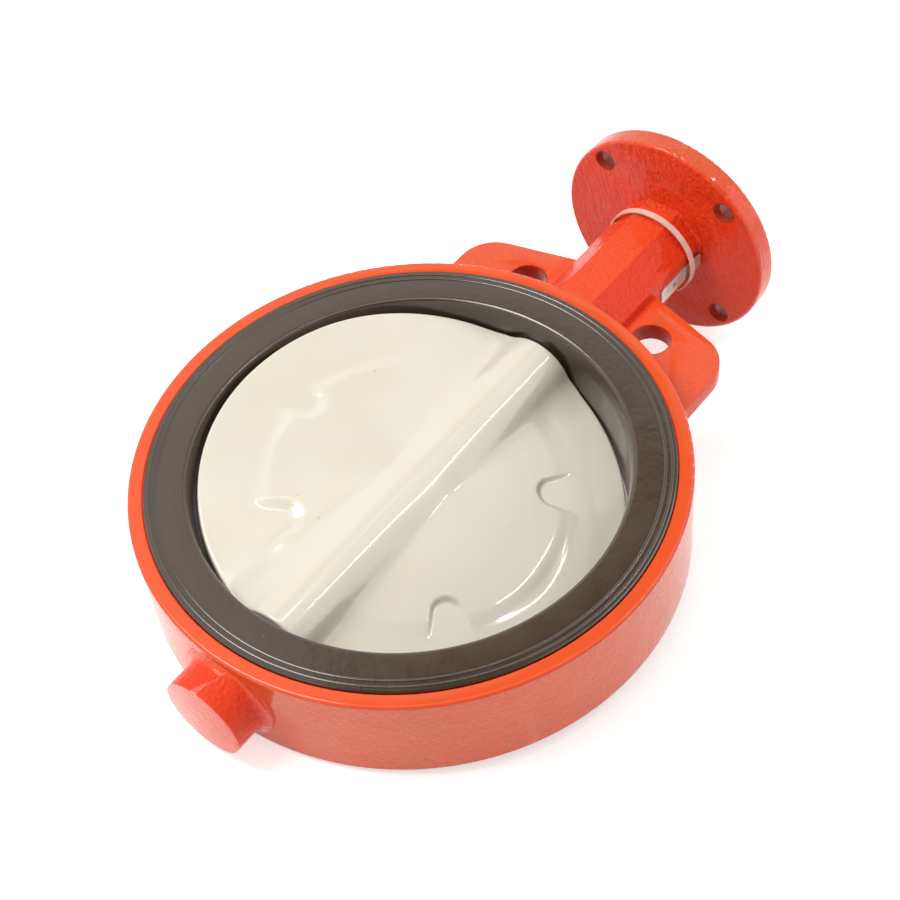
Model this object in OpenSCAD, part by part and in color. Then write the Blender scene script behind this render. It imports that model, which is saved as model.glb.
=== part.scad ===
// Wafer butterfly valve for a 250 mm (10 inch) pipeline, rubber seated, with a bare stem end.
// Origin: where the pipe's axis crosses the stem's axis.
// +Z runs along the pipe, +Y up the stem to the actuator flange, +X across the disc.
// The disc, the stem and what they carry are drawn standing open by rest_angle.

/* [Disc] */
// Diameter of the disc over its sealing rim
disc_d = 249; // [240:1:256]
// Thickness of the disc at its rim
rim_t = 8.6; // [7.4:0.2:10]
// Rounding of the rim's two edges
rim_r = 1.5; // [0.8:0.1:2.4]
// Diameter of the raised middle of each face
raised_d = 180; // [172:1:188]
// Thickness of the disc at the inner edge of its turned land
land_t = 14; // [12:0.5:16]
// Height of the raised middle's edge above the land
raised_step = 2; // [1:0.25:3]
// Thickness of the raised middle at the disc's centre
centre_t = 44; // [38:1:46]
// Diameter of the hub that carries the stem
hub_d = 48; // [45:1:52]
// Radius of the blend between hub and plate
hub_blend = 29; // [24:1:32]
// Width of the notches in the raised middle's edge at their round inner end
notch_w = 17; // [13:1:20]
// Angle at which each side of a notch opens outwards
notch_flare = 18; // [8:1:24]
// Distance from the centre to a notch's inner end
notch_reach = 71; // [66:1:76]
// How far the disc stands open at rest, from closed
rest_angle = 15; // [0:1:30]

/* [Seat] */
// Radial thickness of the seat cartridge, rubber and backing ring together
seat_t = 27.1; // [24:0.5:31]
// Thickness of the rubber on the bore
rubber_t = 8; // [6:0.5:10]
// Thickness of the rubber over the backing ring's two ends
face_rubber_t = 6; // [4.5:0.5:8]
// How far the rubber's flat face stands proud of the body
face_proud = 1.4; // [0.8:0.1:2.4]
// Height of the two sealing beads above the rubber's flat face
bead_h = 0.6; // [0.3:0.1:1]
// Radius of a bead's crest
bead_r = 1.3; // [1.1:0.1:1.5]
// Distance of the outer bead from the cartridge's edge
bead_inset = 3.1; // [2.6:0.1:3.6]
// Distance between the two beads
bead_pitch = 3.7; // [3.2:0.1:4.4]
// How much wider the bore is at each face, where it leads the disc in
lead_in = 2.5; // [1.5:0.25:4]
// Length of that lead-in along the pipe
lead_len = 9.4; // [7:0.2:12]
// Rounding of the rubber's inner corner
corner_r = 2.5; // [1.5:0.5:3.5]
// How far the flat pads round the stem stand in from the disc's rim circle
pad_set = 2.6; // [2:0.2:3.4]

/* [Body] */
// Width of the body along the pipe
body_w = 64; // [58:1:70]
// Wall of the body's ring outside the seat
body_wall = 9; // [7:0.5:12]
// Rounding of the ring's outer edges
edge_r = 2; // [1:0.5:3]
// Chamfer where the seat goes in
mouth = 0.8; // [0.4:0.1:1.4]
// Width of the eight-sided neck across its flats
neck_af = 55.4; // [52:0.2:60]
// Length of the neck, from the ring to the actuator flange
neck_len = 97; // [90:1:110]
// Height and width of the flare where the neck meets the flange
neck_flare = 1; // [0.6:0.2:5]
// Fillet where the neck meets the ring
root_fillet = 3; // [2:0.5:3.5]
// Height of the stub that this fillet runs out on
root_stub = 0.5; // [0.2:0.1:1.5]
// Diameter of the blind bottom boss
boss_d = 51; // [46:1:56]
// How far the boss stands out from the ring
boss_stand = 20; // [18:1:26]
// Metal left under the boss's blind bore
boss_floor = 7; // [5:0.5:9]
// Radius of the fillet round the boss's root
boss_fillet = 5.5; // [3:0.5:6]
// How far that fillet's foot is set into the ring's wall
boss_set = 1; // [0.5:0.25:2]

/* [Locating lugs] */
// How far the pipe flanges' bolt circle lies outside the disc
lug_set = 56.5; // [53:0.5:60]
// Bolts in that circle
lug_bolts = 12; // [12:4:12]
// Bolt holes in the lugs
lug_hole = 24; // [20:1:26]
// Thickness of the lugs
lug_t = 12; // [9:1:18]
// Half width over both lugs
lug_half = 95; // [86:1:104]
// Metal outside the bolt circle
lug_rim = 26; // [22:1:32]
// Rounding of the lugs' outer corners
lug_corner = 25; // [16:1:30]

/* [Actuator flange] */
// Diameter of the actuator flange
flange_d = 147; // [144:1:156]
// Thickness of the actuator flange
flange_t = 14.5; // [12:0.5:18]
// How far the actuator's bolt circle lies inside the flange's edge
flange_rim = 11; // [10:0.5:12]
// Actuator bolt holes
flange_hole = 14; // [11:0.5:15]
// Number of actuator bolt holes
flange_bolts = 4; // [4:4:4]
// Rounding of the flange's edges
flange_edge = 2; // [1:0.5:3]

/* [Stem] */
// Diameter of the stem
stem_d = 28; // [26:0.5:30]
// Diameter of the stem's bottom journal
journal_d = 22; // [20:0.5:22.5]
// Width over the two flats that drive the disc
flats_af = 23; // [22.8:0.2:24]
// How far the stem stands above the actuator flange
stem_stand = 35; // [30:1:45]
// Width over the flats of the square end
drive_af = 22; // [21:0.5:23]
// Length of the square end
drive_len = 28; // [20:1:29]
// Width of the groove in the stem's end that shows how the disc lies
mark_w = 3; // [2:0.5:4]
// Depth of that groove
mark_deep = 2; // [1:0.5:3]
// Where the driving flats start, below the centre
flats_from = 30; // [20:1:36]
// Length of the driving flats
flats_len = 71; // [60:1:76]

/* [Bearings and seals] */
// Wall of the three stem bushes
bush_wall = 3; // [2.5:0.25:4]
// Length of the bush just outside the seat
middle_bush_len = 22; // [16:1:28]
// Length of the bush under the flange
upper_bush_len = 24; // [16:1:28]
// Height of the stem's lip seal
seal_h = 7; // [6:0.5:9]
// Thickness of the ring that backs the lip seal
backup_t = 2; // [1.5:0.25:3]
// Thickness of each thrust washer
washer_t = 2.5; // [2:0.25:3.5]
// Outer radius of the washers beyond the stem
washer_wall = 8.8; // [8:0.2:9.6]
// Thickness of the split ring that holds the stem down
split_t = 4.8; // [4:0.2:6]
// Depth of the stem groove that the split ring sits in
split_deep = 2.2; // [1.6:0.2:2.8]
// Thickness of the retaining ring
ring_t = 2; // [1.5:0.25:2.5]
// Depth of the retaining ring's groove
ring_deep = 1.5; // [1:0.1:2]
// Thickness of the thrust pad under the stem
thrust_t = 3; // [2:0.5:4]
// Radial thickness of the rubber O-rings
o_ring_t = 2.4; // [2:0.1:2.6]
// Width of the rubber O-rings along the stem
o_ring_w = 3.8; // [3:0.1:4.4]

/* [Tag and strap] */
// Width of the identification tag
tag_w = 12; // [9:0.5:14]
// Length of the tag
tag_len = 42; // [36:1:48]
// Thickness of the tag
tag_t = 0.8; // [0.5:0.1:1.2]
// How far the tag's top leans out over the fillet under the flange
tag_lean = 1.6; // [1:0.2:2]
// Hole in the tag
tag_hole = 3; // [2:0.25:4]
// Width of the strap
strap_w = 4; // [3:0.25:5]
// Thickness of the strap
strap_t = 1; // [0.7:0.1:1.3]
// Width of the lock that closes the strap
lock_w = 6; // [4.5:0.5:8]
// Height of that lock
lock_t = 3; // [2:0.5:4]
// Distance of the strap below the flange
strap_drop = 14; // [10:1:18]

/* [Clearances] */
// Running clearance of the stem in its bushes, on the radius
run_gap = 0.05; // [0.02:0.01:0.08]
// Clearance of the stem in its rubber seals, on the radius
seal_gap = 0.1; // [0.05:0.01:0.12]
// Clearance of the disc's rim in the seat's bore
rim_gap = 0.4; // [0.3:0.05:0.8]
// Clearance between parts that only lie side by side
slack = 0.3; // [0.2:0.05:0.4]
// Clearance of pressed and bonded pieces, on the radius
press_gap = 0.02; // [0.01:0.01:0.04]

/* [Hidden] */
$fn = 96;
disc_r = disc_d / 2;
rim_w = rim_t / 2;
land_w = land_t / 2;
centre_w = centre_t / 2;
raised_r = raised_d / 2;
raised_w = land_w + raised_step;
land_slope = (land_w - rim_w) / (disc_r - rim_r - raised_r);
hub_r = hub_d / 2;
hub_ball = disc_r - 0.4;
// Blends cut in by this much, so that they meet flat faces at a crease and not on a tangent
blend_cut = 0.06;
// Angle of each notch about the centre, from +X, and how much further out its inner end lies
notches = [[41, 1], [-38.5, 0], [178, 6], [-124, 0]];

bore_r = disc_r + rim_gap;
seat_r = bore_r + seat_t;
cartridge_r = seat_r - slack;
backing_r = bore_r + rubber_t;
face_z = body_w / 2 + face_proud;
backing_z = face_z - face_rubber_t;
pad_y = bore_r - rim_gap - pad_set;
hub_y = pad_y - slack;
// The pads stand in the bore between the two lead-ins, with sides that slope at 45 degrees
pad_h = bore_r - pad_y;
pad_r = face_z - lead_len - pad_h - slack;
port_wall = 5;

body_r = seat_r + body_wall;
mid_wall = seat_r + body_wall / 2;
flange_y = body_r + neck_len;
top_y = flange_y + flange_t;
flange_pcd = flange_d - 2 * flange_rim;
boss_y = body_r + boss_stand;
floor_y = boss_y - boss_floor;
octagon = 1 / cos(22.5);

stem_r = stem_d / 2;
journal_r = journal_d / 2;
bush_r = stem_r + bush_wall;
low_bush_r = journal_r + bush_wall;
foot_y = floor_y - thrust_t - slack;
tip_y = top_y + stem_stand;
flats_end = flats_from + flats_len;
low_bush_0 = seat_r + 1.5;
low_bush_1 = foot_y - 1;
middle_0 = seat_r + 2;

washer_r = stem_r + washer_wall;
pocket_r = washer_r + slack;
ring_groove = ring_t + 0.2;
// The stack in the flange's pocket, from its floor up: washer, split ring, washer, retaining ring
split_0 = washer_t + slack;
washer_0 = split_0 + split_t + slack;
ring_0 = washer_0 + washer_t + 0.1;
ring_cover = 1.6;
pocket_y = top_y - ring_0 - ring_groove - ring_cover;
backup_1 = pocket_y - slack;
backup_0 = backup_1 - backup_t;
seal_0 = backup_0 - slack - seal_h;
upper_1 = seal_0 - slack;
upper_0 = upper_1 - upper_bush_len;
split_r = washer_r - 3;

o_groove = o_ring_w + 0.8;
o_seat = o_ring_t + 0.15;
o_upper = hub_y - 9;
o_lower = -(hub_y - 9);
bush_o_y = (upper_0 + upper_1) / 2;
bush_o_t = bush_wall * 0.6;

tag_x = neck_af / 2 + press_gap;
tag_z = -2.2;
tag_cut = 1.5;
tag_top = flange_y - 1.5;
tag_flat = tag_len * 0.6;
strap_y = flange_y - strap_drop;
strap_rise = strap_y + strap_w / 2 - (tag_top - tag_len + tag_flat);
strap_out = tag_x + tag_t + tag_lean * strap_rise / (tag_len - tag_flat) + slack;
strap_in = neck_af / 2 + slack;
strap_x = (strap_out - strap_in) / 2;
// The round strap rests on two of the neck's corners and goes round the tag's
neck_reach = norm([neck_af / 2 + strap_x, neck_af / 2 * tan(22.5)]) + slack / 2;
tag_reach = norm([strap_out - strap_x, tag_w / 2 - tag_z]);
strap_r = max(neck_reach, tag_reach);

lug_pcd = disc_d + 2 * lug_set;
lug_a = 180 / lug_bolts;
lug_top = lug_pcd / 2 + lug_rim;
lug_cx = lug_half - lug_corner;
lug_cy = (lug_top - lug_corner - lug_cx * sin(lug_a)) / cos(lug_a);
lug_low = sqrt(mid_wall * mid_wall - lug_half * lug_half);
past = 1;

// A round bar along the stem's axis, from y0 to y1
module rod(r, y0, y1) {
  translate([0, y0, 0])
    rotate([-90, 0, 0])
      cylinder(r = r, h = y1 - y0);
}

// A round tube along the stem's axis
module tube(r_out, r_in, y0, y1) {
  difference() {
    rod(r_out, y0, y1);
    rod(r_in, y0 - past, y1 + past);
  }
}

// A ring turned about the stem's axis from a section whose y runs up the stem
module turned(y) {
  translate([0, y, 0])
    rotate([-90, 0, 0])
      rotate_extrude()
        children();
}

// An outline across the stem, carried from y0 to y1
module across(y0, y1) {
  translate([0, y0, 0])
    rotate([-90, 0, 0])
      linear_extrude(y1 - y0)
        children();
}

// Everything that turns with the stem stands at the rest angle
module at_rest() {
  rotate([0, rest_angle, 0])
    children();
}

// A section with round ends, as a squeezed O-ring has
module o_section(r, t, w) {
  e = t / 2;
  translate([r, -(w / 2 - e)])
    square([t, w - t]);
  for (s = [-1, 1])
    translate([r + e, s * (w / 2 - e)])
      circle(r = e);
}

// Half section through the land, whose slope runs on inwards under the notches
module land_section() {
  edge = disc_r - rim_r;
  middle_w = rim_w + edge * land_slope;
  round_w = rim_w - rim_r;
  polygon([[0, -middle_w], [edge, -rim_w], [edge, rim_w], [0, middle_w]]);
  translate([edge - past, -round_w])
    square([rim_r + past, 2 * round_w]);
  for (s = [-1, 1])
    translate([edge, s * round_w])
      circle(r = rim_r);
}

// Half section through the raised middle, a low cone on each face
module raised_section() {
  polygon([[0, -centre_w], [raised_r, -raised_w], [raised_r, raised_w], [0, centre_w]]);
}

// The notches, each a round end whose sides run outwards tangent to it
module notch_outline() {
  nose = notch_w / 2;
  side_x = nose * sin(notch_flare);
  side_y = nose * cos(notch_flare);
  run = raised_r + past - notch_reach - nose;
  for (n = notches)
    rotate(n[0])
      translate([notch_reach + n[1] + nose, 0]) {
        circle(r = nose);
        polygon([
          [-side_x, -side_y], [run, -side_y - (run + side_x) * tan(notch_flare)],
          [run, side_y + (run + side_x) * tan(notch_flare)], [-side_x, side_y]]);
      }
}

// Section of the hub, with a hollow blend down to the plate on each side
module hub_section() {
  reach = hub_r + hub_blend - blend_cut;
  by = rim_w + blend_cut + hub_blend;
  bx = sqrt(reach * reach - by * by);
  difference() {
    union() {
      circle(r = hub_r);
      square([2 * bx, 2 * by * hub_r / reach], center = true);
    }
    for (sx = [-1, 1])
      for (sy = [-1, 1])
        translate([sx * bx, sy * by])
          circle(r = hub_blend);
  }
}

module disc() {
  color("ivory")
    at_rest()
      difference() {
        intersection() {
          union() {
            rotate_extrude()
              land_section();
            difference() {
              rotate_extrude()
                raised_section();
              linear_extrude(2 * centre_t, center = true)
                notch_outline();
            }
            intersection() {
              across(-disc_r, disc_r)
                hub_section();
              sphere(r = hub_ball);
            }
          }
          cube([2 * disc_d, 2 * hub_y, disc_d], center = true);
        }
        rod(stem_r + run_gap, -flats_from, disc_r);
        intersection() {
          rod(stem_r + run_gap, -flats_end, 0);
          cube([disc_d, 2 * disc_d, flats_af + 2 * run_gap], center = true);
        }
        rod(journal_r + run_gap, -disc_r, 0);
      }
}

module stem() {
  color("silver")
    at_rest()
      difference() {
        union() {
          rod(stem_r, -flats_from + slack, tip_y - drive_len);
          intersection() {
            rod(stem_r, -flats_end + slack, tip_y);
            union() {
              translate([-stem_d, -flats_end, -flats_af / 2])
                cube([2 * stem_d, flats_end, flats_af]);
              translate([-drive_af / 2, 0, -drive_af / 2])
                cube([drive_af, tip_y, drive_af]);
            }
          }
          rod(journal_r, -foot_y, -flats_from);
        }
        translate([-stem_d, tip_y - mark_deep, -mark_w / 2])
          cube([2 * stem_d, mark_deep + past, mark_w]);
        tube(
          stem_r + past, stem_r - split_deep,
          pocket_y + split_0 - 0.1, pocket_y + split_0 + split_t + 0.1);
        tube(stem_r + past, stem_r - o_seat, o_upper - o_groove / 2, o_upper + o_groove / 2);
        tube(journal_r + past, journal_r - o_seat, o_lower - o_groove / 2, o_lower + o_groove / 2);
      }
}

module upper_hub_o_ring() {
  color("dimgray")
    at_rest()
      turned(o_upper)
        o_section(stem_r - o_seat + 0.05, o_ring_t, o_ring_w);
}

module lower_hub_o_ring() {
  color("dimgray")
    at_rest()
      turned(o_lower)
        o_section(journal_r - o_seat + 0.05, o_ring_t, o_ring_w);
}

// Half section of the seat's rubber before the backing ring is taken out
module rubber_section() {
  flat = cartridge_r - mouth;
  lip_r = bore_r + lead_in;
  tilt = atan(lead_in / lead_len);
  cut = corner_r * tan(45 - tilt / 2);
  low_z = face_z - cut * cos(tilt);
  low_r = lip_r - cut * sin(tilt);
  polygon([
    [bore_r, lead_len - face_z], [low_r, -low_z], [lip_r + cut, -face_z], [flat, -face_z],
    [cartridge_r, mouth - face_z], [cartridge_r, face_z - mouth], [flat, face_z],
    [lip_r + cut, face_z], [low_r, low_z], [bore_r, face_z - lead_len]]);
  for (s = [-1, 1]) {
    translate([lip_r + cut, s * (face_z - corner_r)])
      circle(r = corner_r);
    for (k = [0, 1])
      translate([cartridge_r - bead_inset - k * bead_pitch, s * (face_z + bead_h - bead_r)])
        circle(r = bead_r);
  }
}

// The flat pad that the disc's hub turns against
module pad() {
  translate([0, pad_y, 0])
    rotate([-90, 0, 0])
      cylinder(r1 = pad_r, r2 = pad_r + pad_h + past, h = pad_h + past);
}

module seat_liner() {
  color("darkslategray")
    difference() {
      union() {
        difference() {
          union() {
            rotate_extrude()
              rubber_section();
            pad();
            mirror([0, 1, 0])
              pad();
          }
          rotate_extrude()
            translate([backing_r, -backing_z])
              square([seat_t, 2 * backing_z]);
        }
        intersection() {
          union() {
            rod(stem_r + port_wall, backing_r - past, seat_r);
            rod(journal_r + port_wall, -seat_r, -(backing_r - past));
          }
          cylinder(r = cartridge_r, h = body_w, center = true);
        }
      }
      rod(stem_r + seal_gap, 0, seat_r + past);
      rod(journal_r + seal_gap, -seat_r - past, 0);
    }
}

module seat_backing_ring() {
  color("saddlebrown")
    difference() {
      cylinder(r = cartridge_r, h = 2 * (backing_z - press_gap), center = true);
      cylinder(r = backing_r + press_gap, h = body_w, center = true);
      rod(stem_r + port_wall + press_gap, 0, seat_r + past);
      rod(journal_r + port_wall + press_gap, -seat_r - past, 0);
    }
}

// Half section of the body's ring
module ring_section() {
  half = body_w / 2;
  difference() {
    union() {
      translate([seat_r, -half])
        square([body_wall - edge_r, body_w]);
      translate([seat_r, -(half - edge_r)])
        square([body_wall, body_w - 2 * edge_r]);
      for (s = [-1, 1])
        translate([body_r - edge_r, s * (half - edge_r)])
          circle(r = edge_r);
    }
    for (s = [-1, 1])
      translate([seat_r, s * half])
        rotate(45)
          square(mouth * sqrt(2), center = true);
  }
}

module lug_outline() {
  difference() {
    union() {
      polygon([
        [-lug_half, lug_low], [lug_half, lug_low], [lug_half, lug_cy],
        [lug_cx + lug_corner * sin(lug_a), lug_cy + lug_corner * cos(lug_a)],
        [0, lug_top / cos(lug_a)],
        [-lug_cx - lug_corner * sin(lug_a), lug_cy + lug_corner * cos(lug_a)],
        [-lug_half, lug_cy]]);
      for (s = [-1, 1])
        translate([s * lug_cx, lug_cy])
          circle(r = lug_corner);
    }
    for (s = [-1, 1])
      rotate(s * lug_a)
        translate([0, lug_pcd / 2])
          circle(d = lug_hole);
  }
}

// A round fillet of radius f about a bar of radius r, widest at its foot
module foot_fillet(r, f) {
  rotate_extrude()
    difference() {
      translate([0, -past])
        square([r + f, f + past]);
      translate([r + f, f])
        circle(r = f);
    }
}

// The eight-sided neck, flared at the flange and with a round fillet at the ring
module neck() {
  h = neck_af / 2 - blend_cut;
  root_y = body_r + root_stub;
  translate([0, mid_wall, 0])
    rotate([-90, 0, 0])
      rotate([0, 0, 22.5])
        cylinder(r = neck_af / 2 * octagon, h = flange_y + past - mid_wall, $fn = 8);
  rod(h + root_fillet, mid_wall, root_y);
  translate([0, root_y, 0])
    rotate([-90, 0, 0])
      foot_fillet(h, root_fillet);
  translate([0, flange_y - neck_flare, 0])
    rotate([-90, 0, 0])
      rotate([0, 0, 22.5])
        cylinder(
          r1 = neck_af / 2 * octagon, r2 = (neck_af / 2 + neck_flare) * octagon,
          h = neck_flare, $fn = 8);
}

module flange_section() {
  r = flange_d / 2;
  square([r - flange_edge, flange_t]);
  translate([0, flange_edge])
    square([r, flange_t - 2 * flange_edge]);
  for (y = [flange_edge, flange_t - flange_edge])
    translate([r - flange_edge, y])
      circle(r = flange_edge);
}

// The blind boss at the stem's foot, with a fillet round its root
module boss() {
  r = boss_d / 2;
  root_y = body_r - boss_set;
  rod(r, -boss_y, -mid_wall);
  rod(r + boss_fillet, -root_y, -mid_wall);
  translate([0, -root_y, 0])
    rotate([90, 0, 0])
      foot_fillet(r, boss_fillet);
}

module body() {
  color("orangered")
    difference() {
      union() {
        rotate_extrude()
          ring_section();
        translate([0, 0, -lug_t / 2])
          linear_extrude(lug_t)
            lug_outline();
        neck();
        turned(flange_y)
          flange_section();
        boss();
      }
      cylinder(r = seat_r, h = 2 * body_w, center = true);
      rod(bush_r, 0, top_y);
      rod(pocket_r, pocket_y, top_y + past);
      rod(pocket_r + ring_deep, pocket_y + ring_0 - 0.1, pocket_y + ring_0 - 0.1 + ring_groove);
      rod(low_bush_r, -floor_y, 0);
      for (i = [0 : flange_bolts - 1])
        rotate([0, 45 + i * 360 / flange_bolts, 0])
          translate([flange_pcd / 2, 0, 0])
            rod(flange_hole / 2, flange_y - past, top_y + past);
    }
}

module lower_bush() {
  color("wheat")
    tube(low_bush_r - press_gap, journal_r + run_gap, -low_bush_1, -low_bush_0);
}

module middle_bush() {
  color("wheat")
    tube(bush_r - press_gap, stem_r + run_gap, middle_0, middle_0 + middle_bush_len);
}

module upper_bush() {
  color("wheat")
    difference() {
      tube(bush_r - press_gap, stem_r + run_gap, upper_0, upper_1);
      tube(bush_r + past, bush_r - bush_o_t - 0.1, bush_o_y - o_groove / 2, bush_o_y + o_groove / 2);
    }
}

module upper_bush_o_ring() {
  color("dimgray")
    turned(bush_o_y)
      o_section(bush_r - bush_o_t - 0.05, bush_o_t, o_ring_w);
}

// A lip seal: a ring with a V cut into its pressure side
module stem_seal() {
  inner = stem_r + seal_gap;
  outer = bush_r - press_gap;
  middle = (inner + outer) / 2;
  lip = 0.5;
  color("dimgray")
    turned(seal_0)
      polygon([
        [inner, 0], [inner + lip, 0], [middle, seal_h / 2], [outer - lip, 0],
        [outer, 0], [outer, seal_h], [inner, seal_h]]);
}

module seal_backup_ring() {
  color("white")
    tube(bush_r - press_gap, stem_r + slack, backup_0, backup_1);
}

module thrust_pad() {
  color("goldenrod")
    rod(low_bush_r - press_gap, -floor_y + press_gap, -floor_y + thrust_t);
}

module lower_thrust_washer() {
  color("goldenrod")
    tube(washer_r, stem_r + slack, pocket_y, pocket_y + washer_t);
}

module upper_thrust_washer() {
  color("goldenrod")
    tube(washer_r, stem_r + slack, pocket_y + washer_0, pocket_y + washer_0 + washer_t);
}

// Two halves that close round the stem's groove
module split_ring() {
  y = pocket_y + split_0;
  color("darkgray")
    at_rest()
      difference() {
        tube(split_r, stem_r - split_deep + 0.1, y, y + split_t);
        translate([-slack, 0, -stem_d])
          cube([2 * slack, tip_y, 2 * stem_d]);
      }
}

// An internal retaining ring with an eye at each end of its gap
module retaining_ring() {
  y = pocket_y + ring_0;
  outer = pocket_r + ring_deep - 0.1;
  inner = washer_r - 2.2;
  eye = 3;
  eye_at = outer - eye - 0.6;
  gap = 16;
  color("gray")
    across(y, y + ring_t)
      difference() {
        union() {
          difference() {
            circle(r = outer);
            circle(r = inner);
            polygon([[0, 0], 2 * outer * [sin(gap), cos(gap)], 2 * outer * [-sin(gap), cos(gap)]]);
          }
          for (s = [-1, 1])
            translate(eye_at * [s * sin(gap + 4), cos(gap + 4)])
              circle(r = eye);
        }
        for (s = [-1, 1])
          translate(eye_at * [s * sin(gap + 4), cos(gap + 4)])
            circle(r = eye / 2.4);
      }
}

module tag_outline() {
  half = tag_w / 2;
  difference() {
    polygon([
      [-half, tag_cut], [-half + tag_cut, 0], [half - tag_cut, 0], [half, tag_cut],
      [half, tag_len - tag_cut], [half - tag_cut, tag_len], [-half + tag_cut, tag_len],
      [-half, tag_len - tag_cut]]);
    translate([0, tag_len / 3])
      circle(d = tag_hole);
  }
}

// A thin plate that lies on the neck's side and leans out near the flange
module id_tag() {
  color("gainsboro")
    translate([tag_x, tag_top - tag_len, tag_z])
      intersection() {
        linear_extrude(2 * tag_w, center = true)
          polygon([
            [0, 0], [tag_t, 0], [tag_t, tag_flat], [tag_t + tag_lean, tag_len],
            [tag_lean, tag_len], [0, tag_flat]]);
        rotate([0, 90, 0])
          linear_extrude(tag_t + tag_lean)
            tag_outline();
      }
}

// The strap, with the lock its tail runs through
module tag_strap() {
  color("mistyrose")
    translate([strap_x, 0, 0]) {
      tube(strap_r + strap_t, strap_r, strap_y - strap_w / 2, strap_y + strap_w / 2);
      rotate([0, 90, 0])
        translate([strap_r + strap_t / 2, strap_y - lock_w / 2, -lock_w / 2])
          cube([lock_t, lock_w, lock_w]);
    }
}

body();
seat_liner();
seat_backing_ring();
disc();
stem();
lower_bush();
middle_bush();
upper_bush();
upper_bush_o_ring();
stem_seal();
seal_backup_ring();
upper_hub_o_ring();
lower_hub_o_ring();
thrust_pad();
lower_thrust_washer();
split_ring();
upper_thrust_washer();
retaining_ring();
id_tag();
tag_strap();
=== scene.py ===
"""Finishes, lighting and camera for a wafer butterfly valve, laid out as a Blender add-on.

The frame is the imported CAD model: +Z along the pipe, +Y up the stem to the actuator flange, origin
where the two axes cross. Lengths are in metres, apart from the disc's and the seat's own sizes and
what is worked out from them, which stay in millimetres until MM carries the finished points over.
"""

import math

import bpy
import bmesh
import numpy as np
from bpy.props import FloatProperty, FloatVectorProperty, IntProperty, PointerProperty
from mathutils import Matrix, Vector


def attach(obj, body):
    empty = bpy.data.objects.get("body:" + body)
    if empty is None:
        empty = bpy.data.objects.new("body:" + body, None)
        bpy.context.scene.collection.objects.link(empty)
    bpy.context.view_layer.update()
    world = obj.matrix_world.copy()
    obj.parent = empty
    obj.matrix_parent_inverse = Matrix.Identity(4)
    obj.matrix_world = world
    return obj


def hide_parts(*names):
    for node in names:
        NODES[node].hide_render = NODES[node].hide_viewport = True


bl_info = {
    "name": "Wafer butterfly valve",
    "version": (1, 0, 0),
    "blender": (4, 5, 0),
    "location": "3D View > Sidebar > Valve",
    "description": "Dresses the CAD frame of a wafer butterfly valve and sets up its studio",
    "category": "Object",
}

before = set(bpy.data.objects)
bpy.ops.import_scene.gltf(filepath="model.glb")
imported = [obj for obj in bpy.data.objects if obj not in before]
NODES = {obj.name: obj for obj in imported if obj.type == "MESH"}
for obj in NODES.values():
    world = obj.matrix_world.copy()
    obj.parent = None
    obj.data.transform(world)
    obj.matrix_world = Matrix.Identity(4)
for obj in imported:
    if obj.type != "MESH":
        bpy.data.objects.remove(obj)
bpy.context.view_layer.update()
MM = 0.001


# Settings


class VALVE_PG_paint(bpy.types.PropertyGroup):
    """Colours and textures of the painted casting."""

    colour: FloatVectorProperty(
        name="Paint", description="Colour of the gloss paint", subtype="COLOR", size=3,
        min=0, max=1, default=(0.90, 0.070, 0.015))
    grain: FloatProperty(
        name="Cast grain", description="Height of the sand-cast grain under the paint",
        subtype="DISTANCE", unit="LENGTH", default=0.00150, min=0, max=0.003, precision=5)
    round_edges: FloatProperty(
        name="Edge rounding", description="Rounding of the casting's edges",
        subtype="DISTANCE", unit="LENGTH", default=0.0011, min=0.0002, max=0.002, precision=4)


class VALVE_PG_disc(bpy.types.PropertyGroup):
    """Shape and colour of the coated disc."""

    colour: FloatVectorProperty(
        name="Coating", description="Colour of the disc's coating", subtype="COLOR", size=3,
        min=0, max=1, default=(0.735, 0.708, 0.612))
    step_width: FloatProperty(
        name="Step softness", description="Width over which the coating rounds the raised middle's edge",
        subtype="DISTANCE", unit="LENGTH", default=0.0031, min=0.0005, max=0.006, precision=4)
    crest_blend: FloatProperty(
        name="Crest blend", description="How broadly the hub runs into the plate",
        subtype="DISTANCE", unit="LENGTH", default=0.010, min=0.001, max=0.014, precision=4)
    rings: IntProperty(
        name="Rings", description="Rings of faces from the centre to the rim", subtype="UNSIGNED",
        default=94, min=40, max=100)
    spokes: IntProperty(
        name="Spokes", description="Faces round the rim", subtype="UNSIGNED",
        default=440, min=120, max=480)


class VALVE_PG_seat(bpy.types.PropertyGroup):
    """Rubber of the seat."""

    colour: FloatVectorProperty(
        name="Rubber", description="Colour of the seat's rubber", subtype="COLOR", size=3,
        min=0, max=1, default=(0.050, 0.028, 0.012))


class VALVE_PG_stage(bpy.types.PropertyGroup):
    """Lights and camera."""

    lens: FloatProperty(
        name="Lens", description="Focal length of the camera", unit="CAMERA",
        default=71.93, min=20, max=200)
    key_power: FloatProperty(
        name="Key light", description="Power of the wide lamp overhead at the left", unit="POWER",
        default=17.0, min=0, max=200)
    strip_power: FloatProperty(
        name="Strip light", description="Power of the long narrow lamp overhead", unit="POWER",
        default=1.6, min=0, max=200)
    tube_power: FloatProperty(
        name="Tube light", description="Power of the thin lamp overhead that draws the beads' lines",
        unit="POWER", default=1.3, min=0, max=200)
    fill_power: FloatProperty(
        name="Fill light", description="Power of the wide low lamp at the right", unit="POWER",
        default=2.6, min=0, max=200)
    ambient: FloatProperty(
        name="Ambient", description="Strength of the light from all round", subtype="FACTOR",
        default=0.54, min=0, max=2)


# Shader building


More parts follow.
